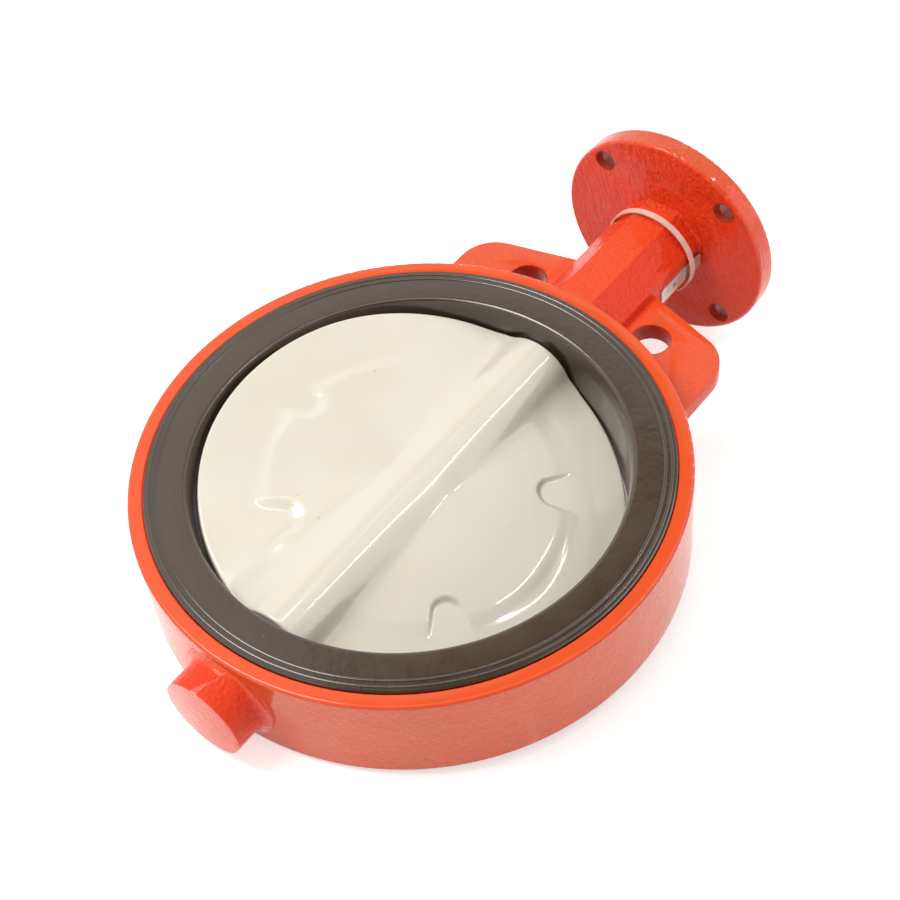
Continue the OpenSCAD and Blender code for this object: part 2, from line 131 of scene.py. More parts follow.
class Tree:
    """A short way to add and join the nodes of one material or group."""

    def __init__(self, tree):
        self.tree = tree

    def add(self, kind, inputs=None, **settings):
        node = self.tree.nodes.new(kind)
        for key, value in settings.items():
            setattr(node, key, value)
        for key, value in (inputs or {}).items():
            self.put(node.inputs[key], value)
        return node

    def put(self, socket, value):
        """Joins another node's output to the socket, or writes a plain value on it."""
        if isinstance(value, bpy.types.NodeSocket):
            self.tree.links.new(value, socket)
        else:
            socket.default_value = value

    def maths(self, operation, *values, clamp=False):
        node = self.tree.nodes.new("ShaderNodeMath")
        node.operation = operation
        node.use_clamp = clamp
        for socket, value in zip(node.inputs, values):
            self.put(socket, value)
        return node.outputs[0]

    def times(self, a, b):
        return self.maths("MULTIPLY", a, b)

    def plus(self, a, b):
        return self.maths("ADD", a, b)

    def most(self, a, b):
        return self.maths("MAXIMUM", a, b)

    def away(self, a, b):
        """The root of a squared and b squared."""
        return self.maths("SQRT", self.plus(self.times(a, a), self.times(b, b)))

    def blend(self, factor, a, b):
        """Mixes two colours."""
        node = self.tree.nodes.new("ShaderNodeMix")
        node.data_type = "RGBA"
        for number, value in ((0, factor), (6, a), (7, b)):
            self.put(node.inputs[number], (*value, 1) if isinstance(value, tuple) else value)
        return node.outputs[2]

    def span(self, value, low, high, out_low=0.0, out_high=1.0):
        """Carries value from low..high to out_low..out_high, smoothly and held at both ends."""
        node = self.add("ShaderNodeMapRange", {"Value": value}, interpolation_type="SMOOTHSTEP")
        node.inputs["From Min"].default_value = low
        node.inputs["From Max"].default_value = high
        node.inputs["To Min"].default_value = out_low
        node.inputs["To Max"].default_value = out_high
        return node.outputs["Result"]

    def noise(self, where, scale, detail=3.0, rough=0.55, distortion=0.0):
        return self.add("ShaderNodeTexNoise", {
            "Vector": where, "Scale": scale, "Detail": detail, "Roughness": rough,
            "Distortion": distortion}).outputs["Fac"]


def shared_group(name, inputs, outputs, build):
    """A shader node group made once, with float inputs {name: default} and float outputs."""
    known = bpy.data.node_groups.get(name)
    if known:
        return known
    group = bpy.data.node_groups.new(name, "ShaderNodeTree")
    group.interface.new_socket("Vector", in_out="INPUT", socket_type="NodeSocketVector")
    for key, value in inputs.items():
        socket = group.interface.new_socket(key, in_out="INPUT", socket_type="NodeSocketFloat")
        socket.default_value = value
    for key in outputs:
        group.interface.new_socket(key, in_out="OUTPUT", socket_type="NodeSocketFloat")
    start = group.nodes.new("NodeGroupInput")
    end = group.nodes.new("NodeGroupOutput")
    results = build(Tree(group), start.outputs)
    for key in outputs:
        group.links.new(results[key], end.inputs[key])
    return group


def cast_grain_group():
    """Sand-cast grain: rounded pebbles of about Size, broken by finer noise, over slow waves."""

    def build(t, given):
        where = given["Vector"]
        scale = t.maths("DIVIDE", 1.0, given["Size"])
        pebbles = t.add("ShaderNodeTexVoronoi", {"Vector": where, "Scale": scale, "Randomness": 1.0},
                        feature="SMOOTH_F1").outputs["Distance"]
        lumps = t.noise(where, t.times(scale, 0.55), 3.0, 0.6, 0.35)
        waves = t.noise(where, t.times(scale, 0.12), 2.0, 0.5)
        low = t.times(pebbles, -0.45)
        height = t.plus(low, t.times(lumps, 0.9))
        height = t.plus(height, t.times(waves, 1.1))
        return {"Height": height}

    return shared_group("cast grain", {"Size": 0.0035}, ("Height",), build)


def wet_coat_group():
    """The slow waviness of a thick coat, like orange peel, with a little fine unevenness."""

    def build(t, given):
        scale = t.maths("DIVIDE", 1.0, given["Size"])
        peel = t.noise(given["Vector"], scale, 1.5, 0.4)
        drift = t.noise(given["Vector"], t.times(scale, 0.2), 2.0, 0.5, 0.4)
        return {"Height": t.plus(t.times(peel, 0.5), drift), "Drift": drift}

    return shared_group("wet coat", {"Size": 0.006}, ("Height", "Drift"), build)


def paint_runs_group():
    """Wrinkles of thick paint that ran down a wall: noise drawn out eight times along the run."""

    def build(t, given):
        turned = t.add("ShaderNodeMapping", {"Vector": given["Vector"], "Rotation": (0.0, 0.30, 0.0)})
        drawn = t.add("ShaderNodeMapping", {"Vector": turned.outputs[0], "Scale": (1.0, 1.0, 0.16)})
        return {"Height": t.noise(drawn.outputs[0], t.maths("DIVIDE", 1.0, given["Size"]), 2.0, 0.5, 0.8)}

    return shared_group("paint runs", {"Size": 0.0028}, ("Height",), build)


def handling_group():
    """Marks of handling: a cloudy film and sparse pale specks, both from 0 to 1."""

    def build(t, given):
        where = given["Vector"]
        cloud = t.noise(where, t.maths("DIVIDE", 1.0, given["Cloud size"]), 4.0, 0.6, 0.5)
        cells = t.add("ShaderNodeTexVoronoi", {
            "Vector": where, "Scale": t.maths("DIVIDE", 1.0, given["Speck spacing"]), "Randomness": 1.0})
        near = t.span(cells.outputs["Distance"], 0.03, 0.07, 1.0, 0.0)
        draw = t.add("ShaderNodeSeparateColor", {"Color": cells.outputs["Color"]}).outputs[0]
        specks = t.times(near, t.span(draw, 0.70, 0.72))
        return {"Cloud": t.span(cloud, 0.38, 0.68), "Specks": specks}

    inputs = {"Cloud size": 0.05, "Speck spacing": 0.012}
    return shared_group("handling marks", inputs, ("Cloud", "Specks"), build)


def turned_group():
    """Fine rings left by turning about the stem's axis: a wave in y broken by noise."""

    def build(t, given):
        split = t.add("ShaderNodeSeparateXYZ", {"Vector": given["Vector"]})
        wobble = t.times(t.noise(given["Vector"], 60.0, 2.0), 0.0006)
        along = t.plus(split.outputs["Y"], wobble)
        rings = t.maths("SINE", t.maths("DIVIDE", t.times(along, 2 * math.pi), given["Pitch"]))
        on_axis = t.add("ShaderNodeCombineXYZ", {"X": 0.0, "Y": split.outputs["Y"], "Z": 0.0}).outputs[0]
        fine = t.noise(on_axis, 4000.0, 2.0)
        return {"Height": t.plus(t.times(rings, 0.4), fine), "Streaks": fine}

    return shared_group("turned rings", {"Pitch": 0.0004}, ("Height", "Streaks"), build)


def place_group(t, group, where, **values):
    """Puts a shared group into a material with its own values."""
    node = t.add("ShaderNodeGroup", node_tree=group)
    t.put(node.inputs["Vector"], where)
    for key, value in values.items():
        node.inputs[key.replace("_", " ")].default_value = value
    return node


def new_material(name, build):
    """A material whose Principled BSDF is set up by build(tree, object_coordinates, principled)."""
    known = bpy.data.materials.get(name)
    if known:
        return known
    material = bpy.data.materials.new(name)
    material.use_nodes = True
    material.node_tree.nodes.clear()
    t = Tree(material.node_tree)
    out = t.add("ShaderNodeOutputMaterial")
    shader = t.add("ShaderNodeBsdfPrincipled")
    t.put(out.inputs["Surface"], shader.outputs[0])
    where = t.add("ShaderNodeTexCoord").outputs["Object"]
    build(t, where, shader)
    return material


def bump(t, shader, height, distance):
    node = t.add("ShaderNodeBump", {"Height": height, "Distance": distance, "Strength": 1.0})
    t.put(shader.inputs["Normal"], node.outputs[0])


def tinted(colour, *shares):
    return tuple(c * share for c, share in zip(colour, shares))


# Finishes


# Places on the casting, as in the CAD
RING_R, RING_LEVEL, RING_FILLET = 0.161, 0.030, 0.002
BOSS_END, NECK_HALF, FLANGE_UNDER, FLANGE_TOP = -0.181, 0.036, 0.2575, 0.272
FLANGE_HOLE, FLANGE_HOLE_R = (0.0442, 0.0442), 0.0073
LUG_HOLE, LUG_HOLE_R, LUG_FOOT = (0.0468, 0.1748), 0.0123, 0.150


def near_hole(t, a, b, place, radius, where):
    """1 on the walls of the four or two holes whose axes lie at |a|, |b| = place."""
    away = t.away(t.maths("SUBTRACT", t.maths("ABSOLUTE", a), place[0]),
                  t.maths("SUBTRACT", t.maths("ABSOLUTE", b), place[1]))
    return t.times(t.span(away, radius, radius + 0.0004, 1.0, 0.0), where)


def paint_material(settings):
    """Gloss paint over cast grain, smooth where the casting is machined and in its bolt holes. Painted
    shade darkens the holes' walls, the low grain and the walls that do not face up; painted sheen pales the
    faces turned up, and a painted reflection pales the ring's outer wall.
    """
    colour = tuple(settings.colour)

    def build(t, where, shader):
        split = t.add("ShaderNodeSeparateXYZ", {"Vector": where})
        x, y, z = (split.outputs[k] for k in "XYZ")
        radius, rise = t.away(x, y), t.maths("ABSOLUTE", z)
        on_ring = t.span(radius, RING_R + 0.0015, RING_R + 0.0025, 1.0, 0.0)
        ring_face = t.times(t.span(rise, RING_LEVEL + 0.0005, RING_LEVEL + 0.0016), on_ring)
        pad = t.span(y, FLANGE_TOP - 0.0005, FLANGE_TOP + 0.0003)
        machined = t.most(ring_face, pad)
        in_flange = t.span(y, FLANGE_UNDER - 0.0010, FLANGE_UNDER - 0.0005)
        in_lug = t.span(y, LUG_FOOT, LUG_FOOT + 0.001)
        drilled_and_shaded = t.most(near_hole(t, x, z, FLANGE_HOLE, FLANGE_HOLE_R, in_flange),
                         near_hole(t, x, y, LUG_HOLE, LUG_HOLE_R, in_lug))
        machined = t.most(machined, drilled_and_shaded)

        grain = place_group(t, cast_grain_group(), where, Size=0.0021)
        coat = place_group(t, wet_coat_group(), where, Size=0.008)
        runs = place_group(t, paint_runs_group(), where)
        rough_share = t.span(machined, 0.0, 1.0, 1.0, 0.10)
        height = t.times(grain.outputs["Height"], rough_share)
        on_flange = t.times(t.span(y, FLANGE_UNDER - 0.0125, FLANGE_UNDER - 0.0015), rough_share)
        wrinkles = t.times(t.maths("SUBTRACT", runs.outputs["Height"], 0.5), t.times(on_flange, 1.4))
        height = t.plus(height, wrinkles)
        height = t.plus(height, t.times(coat.outputs["Height"], 0.25))

        # Painted light: walls off the ring that do not face up, and the neck and the boss all round, get a
        # deeper red as painted shade; faces turned up get a paler painted sheen, and the ring's outer wall
        # a paler painted reflection
        normal = t.add("ShaderNodeNewGeometry").outputs["Normal"]
        level = t.span(t.add("ShaderNodeSeparateXYZ", {"Vector": normal}).outputs["Z"], 0.70, 0.95)
        outside = t.times(t.span(y, FLANGE_UNDER + 0.0002, FLANGE_UNDER + 0.0011, 1.0, 0.0),
                          t.span(y, BOSS_END + 0.0002, BOSS_END + 0.0010))
        outside = t.times(t.span(radius, RING_R, RING_R + 0.005), outside)
        stalk = t.span(t.maths("ABSOLUTE", x), NECK_HALF, NECK_HALF + 0.004, 1.0, 0.0)
        stalk = t.times(outside, stalk)
        stalk = t.times(stalk, t.span(y, -0.10, 0.10, 1.0, 0.6))
        outside = t.times(outside, t.span(level, 0.0, 1.0, 1.0, 0.0))
        outside = t.most(outside, stalk)
        level = t.times(level, t.span(stalk, 0.0, 1.0, 1.0, 0.0))
        wall = t.times(t.span(radius, RING_R - 0.0010, RING_R - 0.0004),
                       t.span(radius, RING_R + 0.0002, RING_R + 0.0008, 1.0, 0.0))
        wall = t.times(wall, t.span(rise, RING_LEVEL, RING_LEVEL + 0.0012, 1.0, 0.0))

        marks = place_group(t, handling_group(), where, Cloud_size=0.06, Speck_spacing=0.014)
        # Painted shade: the low parts of the cast grain are darkened.
        hollow_shade = t.times(t.span(height, 0.42, 1.15, 0.45, 0.0), rough_share)
        # Painted shade: a deeper red on the low grain and on the walls off the ring, the neck and the boss.
        base = t.blend(t.most(hollow_shade, outside), colour, tinted(colour, 0.90, 0.66, 0.72))
        # Painted sheen: faces turned up are made paler and more orange.
        base = t.blend(level, base, tinted(colour, 0.84, 1.3, 1.3))
        # Painted reflection: the ring's outer wall is made paler.
        base = t.blend(wall, base, tinted(colour, 0.88, 1.45, 1.2))
        cloud = t.times(marks.outputs["Cloud"], 0.25)
        base = t.blend(cloud, base, tinted(colour, 1.04, 1.22, 1.25))
        # Painted shade: the walls of the bolt holes are made dark red.
        base = t.blend(t.times(drilled_and_shaded, 0.7), base, (0.27, 0.038, 0.020))
        t.put(shader.inputs["Base Color"], base)
        t.put(shader.inputs["Roughness"], t.span(coat.outputs["Drift"], 0.3, 0.7, 0.26, 0.38))
        shader.inputs["Specular IOR Level"].default_value = 0.08
        thin = t.most(outside, t.times(wall, 0.25))
        t.put(shader.inputs["Coat Weight"], t.span(thin, 0.0, 1.0, 0.8, 0.25))
        shader.inputs["Coat Roughness"].default_value = 0.06
        shader.inputs["Coat IOR"].default_value = 1.5
        bump(t, shader, height, settings.grain)

    return new_material("gloss paint on casting", build)


def coating_material(settings):
    """The disc's thick gloss coating, warmer in clouds and with a few specks in it."""
    colour = tuple(settings.colour)

    def build(t, where, shader):
        coat = place_group(t, wet_coat_group(), where, Size=0.013)
        marks = place_group(t, handling_group(), where, Cloud_size=0.09, Speck_spacing=0.02)
        cloud = t.times(marks.outputs["Cloud"], 0.6)
        base = t.blend(cloud, colour, tinted(colour, 0.97, 0.95, 0.90))
        base = t.blend(t.times(marks.outputs["Specks"], 0.35), base, (0.45, 0.40, 0.30))
        t.put(shader.inputs["Base Color"], base)
        t.put(shader.inputs["Roughness"], t.span(coat.outputs["Drift"], 0.3, 0.7, 0.13, 0.22))
        shader.inputs["Specular IOR Level"].default_value = 0.3
        shader.inputs["Coat Weight"].default_value = 0.8
        shader.inputs["Coat Roughness"].default_value = 0.05
        specks = t.times(marks.outputs["Specks"], 0.25)
        fine = t.times(t.noise(where, 330.0, 2.0), 0.05)
        height = t.plus(t.maths("SUBTRACT", coat.outputs["Height"], specks), fine)
        bump(t, shader, height, 0.00035)

    return new_material("thick gloss coating", build)


def rubber_material(name, colour, polish):
    """Moulded rubber; painted shade makes it blacker in the seat's bore and round its beads than on the
    face between them.
    """

    def build(t, where, shader):
        marks = place_group(t, handling_group(), where, Cloud_size=0.04, Speck_spacing=0.011)
        coat = place_group(t, wet_coat_group(), where, Size=0.004)
        dusty = tuple(min(c * 1.5 + 0.012, 1) for c in colour)
        base = t.blend(t.times(marks.outputs["Cloud"], 0.10), colour, dusty)
        base = t.blend(t.times(marks.outputs["Specks"], 0.30), base, (0.32, 0.29, 0.25))
        split = t.add("ShaderNodeSeparateXYZ", {"Vector": where})
        radius = t.away(split.outputs["X"], split.outputs["Y"])
        bore_shade = t.span(radius, 0.1254, 0.1275, 0.5, 0.0)
        bead_shade = t.span(radius, 0.1420, 0.1430, 0.0, 0.2)
        # Painted shade: the rubber is made blacker in the bore and round the beads.
        base = t.blend(t.plus(bore_shade, bead_shade), base, (0.010, 0.005, 0.002))
        t.put(shader.inputs["Base Color"], base)
        t.put(shader.inputs["Roughness"], t.span(marks.outputs["Cloud"], 0.0, 1.0, polish, polish + 0.05))
        shader.inputs["Specular IOR Level"].default_value = 1.0
        fine = t.noise(where, 1800.0, 2.0)
        bump(t, shader, t.plus(coat.outputs["Height"], t.times(fine, 0.12)), 0.00012)

    return new_material(name, build)


def o_ring_rubber():
    return rubber_material("o-ring rubber", (0.030, 0.030, 0.031), 0.40)


def metal_material(name, colour, rough, depth=0.00002):
    """Turned metal, a little dulled in clouds."""

    def build(t, where, shader):
        rings = place_group(t, turned_group(), where, Pitch=0.0004)
        marks = place_group(t, handling_group(), where, Cloud_size=0.02, Speck_spacing=0.006)
        streaks = t.times(rings.outputs["Streaks"], 0.5)
        base = t.blend(streaks, colour, tinted(colour, 0.72, 0.72, 0.72))
        t.put(shader.inputs["Base Color"], base)
        shader.inputs["Metallic"].default_value = 1.0
        t.put(shader.inputs["Roughness"], t.span(marks.outputs["Cloud"], 0.0, 1.0, rough, rough + 0.12))
        bump(t, shader, rings.outputs["Height"], depth)

    return new_material(name, build)


def plastic_material(name, colour, rough, size=0.003):
    """Moulded plastic with a slow waviness of about size."""

    def build(t, where, shader):
        coat = place_group(t, wet_coat_group(), where, Size=size)
        marks = place_group(t, handling_group(), where, Cloud_size=0.02, Speck_spacing=0.007)
        base = t.blend(marks.outputs["Cloud"], colour, tinted(colour, 0.86, 0.86, 0.86))
        t.put(shader.inputs["Base Color"], base)
        drift = coat.outputs["Drift"]
        t.put(shader.inputs["Roughness"], t.span(drift, 0.3, 0.7, rough - 0.06, rough + 0.08))
        bump(t, shader, coat.outputs["Height"], 0.00008)

    return new_material(name, build)


def tag_material():
    """Bare sheet metal, rolled along the stem, dulled and faintly stained."""

    def build(t, where, shader):
        split = t.add("ShaderNodeSeparateXYZ", {"Vector": where})
        along = t.times(split.outputs["Y"], 0.03)
        stretched = t.add("ShaderNodeCombineXYZ", {
            "X": split.outputs["X"], "Y": along, "Z": split.outputs["Z"]})
        rolled = t.noise(stretched.outputs[0], 2600.0, 3.0)
        marks = place_group(t, handling_group(), where, Cloud_size=0.008, Speck_spacing=0.003)
        base = t.blend(t.times(rolled, 0.6), (0.70, 0.67, 0.61), (0.47, 0.43, 0.38))
        base = t.blend(t.times(marks.outputs["Cloud"], 0.35), base, (0.46, 0.34, 0.28))
        t.put(shader.inputs["Base Color"], base)
        shader.inputs["Metallic"].default_value = 0.85
        t.put(shader.inputs["Roughness"], t.span(rolled, 0.3, 0.7, 0.34, 0.48))
        bump(t, shader, rolled, 0.00003)

    return new_material("rolled tag metal", build)


def dress(names, material):
    """Gives CAD nodes a material in place of their plain one."""
    for name in names:
        mesh = NODES[name].data
        mesh.materials.clear()
        mesh.materials.append(material)


# Meshes


def add_piece(name, mesh, material, body, stands_for):
    piece = bpy.data.objects.new(name, mesh)
    bpy.context.scene.collection.objects.link(piece)
    mesh.materials.clear()
    mesh.materials.append(material)
    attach(piece, body)
    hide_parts(stands_for)
    return piece


def face_mesh(name, points, *faces):
    """A mesh from points and arrays of faces, one row of point numbers for each face."""
    loops = np.concatenate([f.ravel() for f in faces])
    sizes = np.concatenate([np.full(len(f), f.shape[1]) for f in faces])
    mesh = bpy.data.meshes.new(name)
    mesh.vertices.add(len(points))
    mesh.vertices.foreach_set("co", points.astype(np.float32).ravel())
    mesh.loops.add(len(loops))
    mesh.loops.foreach_set("vertex_index", loops.astype(np.int32))
    mesh.polygons.add(len(sizes))
    starts = np.concatenate([[0], np.cumsum(sizes)[:-1]])
    mesh.polygons.foreach_set("loop_start", starts.astype(np.int32))
    mesh.polygons.foreach_set("loop_total", sizes.astype(np.int32))
    mesh.update(calc_edges=True)
    mesh.validate()
    mesh.shade_smooth()
    return mesh


def capped_mesh(name, rows):
    """A closed surface from rows[i, j] = point, where i runs from one pole to the other and j goes round.
    The first and last rows are single points repeated."""
    count, around = rows.shape[0], rows.shape[1]
    points = np.concatenate([rows[:1, 0], rows[1:-1].reshape(-1, 3), rows[-1:, 0]])
    ring = np.arange(around)
    after = (ring + 1) % around
    base = 1 + np.arange(count - 3)[:, None] * around
    quads = np.stack([base + ring, base + around + ring, base + around + after, base + after], axis=-1)
    last = 1 + (count - 3) * around
    first_fan = np.stack([np.zeros(around, int), 1 + ring, 1 + after], axis=-1)
    last_fan = np.stack([np.full(around, len(points) - 1), last + after, last + ring], axis=-1)
    return face_mesh(name, points, quads.reshape(-1, 4), first_fan, last_fan)


def ring_mesh(name, rows):
    """A closed ring from rows[i, j] = point, where i goes round the section and j round the axis."""
    count, around = rows.shape[0], rows.shape[1]
    place = np.arange(count * around).reshape(count, around)
    below, after = np.roll(place, -1, axis=0), np.roll(place, -1, axis=1)
    quads = np.stack([place, after, np.roll(below, -1, axis=1), below], axis=-1).reshape(-1, 4)
    return face_mesh(name, rows.reshape(-1, 3), quads)


def cut_away(piece, tool_mesh):
    """Takes the tool's space out of a piece and keeps the result as the piece's mesh."""
    tool = bpy.data.objects.new("cutting tool", tool_mesh)
    bpy.context.scene.collection.objects.link(tool)
    cut = piece.modifiers.new("cut", "BOOLEAN")
    cut.operation = "DIFFERENCE"
    cut.solver = "EXACT"
    cut.object = tool
    made = bpy.data.meshes.new_from_object(piece.evaluated_get(bpy.context.evaluated_depsgraph_get()))
    piece.modifiers.clear()
    piece.data = made
    bpy.data.objects.remove(tool)


def round_bar(name, steps, rest=0.0, around=96):
    """A bar along y from steps of (place, radius at each angle) in mm, turned by rest about y.

    The radius may be a function of the angle; each end is closed to a point."""
    angle = np.arange(around) * 2 * math.pi / around
    rows = [np.tile([0.0, steps[0][0], 0.0], (around, 1))]
    for place, radius in steps:
        r = radius(angle) if callable(radius) else np.full(around, radius)
        x, z = r * np.cos(angle), r * np.sin(angle)
        rows.append(np.stack([x * math.cos(rest) + z * math.sin(rest), np.full(around, place),
                              z * math.cos(rest) - x * math.sin(rest)], axis=-1))
    rows.append(np.tile([0.0, steps[-1][0], 0.0], (around, 1)))
    return capped_mesh(name, np.array(rows) * MM)


def smooth_max(a, b, width):
    """The larger of a and b, rounded where they lie within width of each other."""
    near = np.clip(width - np.abs(a - b), 0, None) / width
    return np.maximum(a, b) + near * near * width / 4


def smooth_step(x):
    x = np.clip(x, 0, 1)
    return x * x * (3 - 2 * x)


# The disc's own sizes, in millimetres, as in the CAD
RIM_R, RIM_HALF, RIM_ROUND = 124.5, 4.3, 1.5
RAISED_R, LAND_HALF, RAISED_HALF, CENTRE_HALF = 90.0, 7.0, 9.0, 22.0
HUB_R, HUB_BLEND, HUB_END, HUB_BALL = 24.0, 29.0, 121.6, 124.1
NOTCHES = ((41.0, 72.0), (-38.5, 71.0), (178.0, 77.0), (-124.0, 71.0))
NOTCH_NOSE, NOTCH_FLARE = 8.5, 18.0
STEM_R, FLAT_HALF, JOURNAL_R = 14.05, 11.55, 11.05
CENTRE_RIDGE, COAT_WAVE = 0.45, 0.07
REST_DEGREES = 15.0


def raised_share(u, v, crisp, soft):
    """How much of the raised middle stands at (u, v), from 0 on the turned land to 1.

    It is the product of one broad step over the round edge, drowned in the coating, and one over
    each notch. A notch is a round nose whose two sides run outwards at the flare angle: past the
    points where they touch the nose the distance to it is that to the side, and before them that to
    the nose's circle. A notch's wall is tight at its top and hollow at its foot: smooth step to the
    power 1.7. The two notches on the +u side are crisp and the other two are half filled."""
    share = smooth_step((RAISED_R - np.hypot(u, v)) / soft + 0.5)
    flare = math.radians(NOTCH_FLARE)
    for degrees, reach in NOTCHES:
        a = math.radians(degrees)
        along = u * math.cos(a) + v * math.sin(a) - reach - NOTCH_NOSE
        beside = np.abs(v * math.cos(a) - u * math.sin(a))
        to_side = beside * math.cos(flare) - along * math.sin(flare)
        past_nose = along * math.cos(flare) + beside * math.sin(flare) > 0
        outside = np.where(past_nose, to_side, np.hypot(along, beside)) - NOTCH_NOSE
        width = crisp if math.cos(a) > 0 else 0.6 * soft
        share = share * smooth_step(outside / width + 0.5) ** 1.7
    return share


def disc_height(u, v, step, crest):
    """Height in mm of the disc's face over its middle plane at (u, v).

    The turned land falls evenly to the rim, and the raised middle is a cone over it. A short low
    ridge crosses the hub's foot at the centre. The hub is a bar along v whose flanks are hollow
    arcs, and a rounded maximum joins it to the plate, broadly near its ends and closely in the
    middle. Slow waves of the poured coating lie over all of it."""
    r = np.hypot(u, v)
    land = RIM_HALF + (RIM_R - RIM_ROUND - r) * (LAND_HALF - RIM_HALF) / (RIM_R - RIM_ROUND - RAISED_R)
    raised = CENTRE_HALF - (CENTRE_HALF - RAISED_HALF) * np.minimum(r / RAISED_R, 1.0)
    raised = raised + CENTRE_RIDGE * np.exp(-((v - 3) / 4.0) ** 2 - ((u - 22) / 11.0) ** 4)
    plate = land + (raised - land) * raised_share(u, v, step, 5 * step)
    side = np.abs(u)
    reach = HUB_R + HUB_BLEND
    by = RIM_HALF + HUB_BLEND
    bx = math.sqrt(reach ** 2 - by ** 2)
    turn = bx * HUB_R / reach
    top = np.sqrt(np.clip(HUB_R ** 2 - side ** 2, 0, None))
    flank = by - np.sqrt(np.clip(HUB_BLEND ** 2 - (bx - side) ** 2, 0, None))
    hub = np.where(side < turn, top, np.where(side < bx, flank, RIM_HALF - 0.02 * (side - bx)))
    width = crest * (0.55 + np.where(u < 0, 1.0, 0.45) * smooth_step(np.abs(v) / 80.0))
    height = smooth_max(plate, hub, width)
    waves = np.sin(u / 9.0 + 1.3 * np.sin(v / 17.0)) * np.sin(v / 11.0 + 0.9 * np.sin(u / 13.0))
    return height + COAT_WAVE * waves * smooth_step((118.0 - r) / 10.0)


def disc_mesh(settings):
    """The disc as one closed surface: a polar grid on each face, carried round the rim.

    Every spoke runs from the centre to the outline, which is the rim's circle cut off flat at the
    hub's two ends, then round a small edge and straight down to the other face."""
    step, crest = settings.step_width / MM, settings.crest_blend / MM
    around, rings = settings.spokes, settings.rings
    angle = np.arange(around) * 2 * math.pi / around
    edge = np.minimum(RIM_R, HUB_END / np.maximum(np.abs(np.sin(angle)), 1e-6))
    share = np.linspace(0, 1, rings)[:, None]
    radius = share * (edge - RIM_ROUND)[None]
    u, v = radius * np.cos(angle), radius * np.sin(angle)
    height = disc_height(u, v, step, crest)
    ball = np.sqrt(np.clip(HUB_BALL ** 2 - u ** 2 - v ** 2, RIM_HALF ** 2, None))
    height = np.minimum(height, np.maximum(ball, RIM_HALF))
    bend = np.linspace(0, math.pi / 2, 6)[1:, None]
    edge_radius = (edge - RIM_ROUND)[None] + RIM_ROUND * np.sin(bend)
    edge_height = height[-1][None] - RIM_ROUND * (1 - np.cos(bend))
    radius = np.concatenate([radius, edge_radius])
    height = np.concatenate([height, edge_height])
    radius = np.concatenate([radius, radius[::-1]])
    height = np.concatenate([height, -height[::-1]])
    u, v = radius * np.cos(angle), radius * np.sin(angle)
    rest = math.radians(REST_DEGREES)
    rows = np.stack([u * math.cos(rest) + height * math.sin(rest), v,
                     height * math.cos(rest) - u * math.sin(rest)], axis=-1) * MM
    return capped_mesh("coated disc", rows)


def stem_hole():
    """The space the stem takes in the hub: round above, then with two flats, then the journal."""

    def flats(angle):
        return np.minimum(STEM_R, FLAT_HALF / np.maximum(np.abs(np.sin(angle)), 1e-6))

    return round_bar("stem hole", ((126.0, STEM_R), (-30.0, STEM_R), (-30.0, flats), (-101.0, flats),
                                   (-101.0, JOURNAL_R), (-126.0, JOURNAL_R)), math.radians(REST_DEGREES))


# The seat's own sizes, in millimetres, as in the CAD
BORE_R, LEAD_Z, LIP_R, CORNER_R, FACE_Z = 124.9, 24.0, 127.4, 2.5, 33.4
BEAD_R, BEAD_Z, BEADS = 1.3, 32.7, (144.9, 148.6)
OUTER_R, OUTER_CUT, BACKING_R, BACKING_Z = 151.7, 0.8, 132.9, 27.4
PAD_Y, PAD_R = 121.9, 20.7
PORT_R, LOWER_PORT_R, PORT_WALL = 14.1, 11.1, 5.0
PAD_FOOT_ROUND, PAD_EDGE_ROUND, SEAT_SPOKES, CROWDING = 1.2, 0.7, 480, 0.28


def arc(centre_r, centre_z, radius, start, end, count):
    """Points of an arc of a section, from start to end in degrees."""
    a = np.radians(np.linspace(start, end, count))
    return np.stack([centre_r + radius * np.cos(a), centre_z + radius * np.sin(a)], axis=-1)


def seat_section():
    """The seat's section as (r, z) points going round: bore, lead-in, rounded lip, face with its two
    beads, chamfer, outside, and the channel of the backing ring; the lower half mirrors the upper."""
    tilt = math.degrees(math.atan2(LIP_R - BORE_R, FACE_Z - LEAD_Z))
    lip = LIP_R + CORNER_R * math.tan(math.radians(45 - tilt / 2))
    lean = math.degrees(math.asin((FACE_Z - BEAD_Z) / BEAD_R))
    parts = [np.stack([np.full(13, BORE_R), np.linspace(0.9, LEAD_Z, 13)], axis=-1),
             arc(lip, FACE_Z - CORNER_R, CORNER_R, 180 - tilt, 90, 10)]
    for bead in BEADS:
        parts.append(arc(bead, BEAD_Z, BEAD_R, 180 - lean, lean, 9))
    parts.append(np.array([
        [OUTER_R - OUTER_CUT, FACE_Z], [OUTER_R, FACE_Z - OUTER_CUT], [OUTER_R, BACKING_Z],
        [BACKING_R, BACKING_Z], [BACKING_R, 0.9]]))
    upper = np.concatenate(parts)
    return np.concatenate([upper, upper[::-1] * (1, -1)])


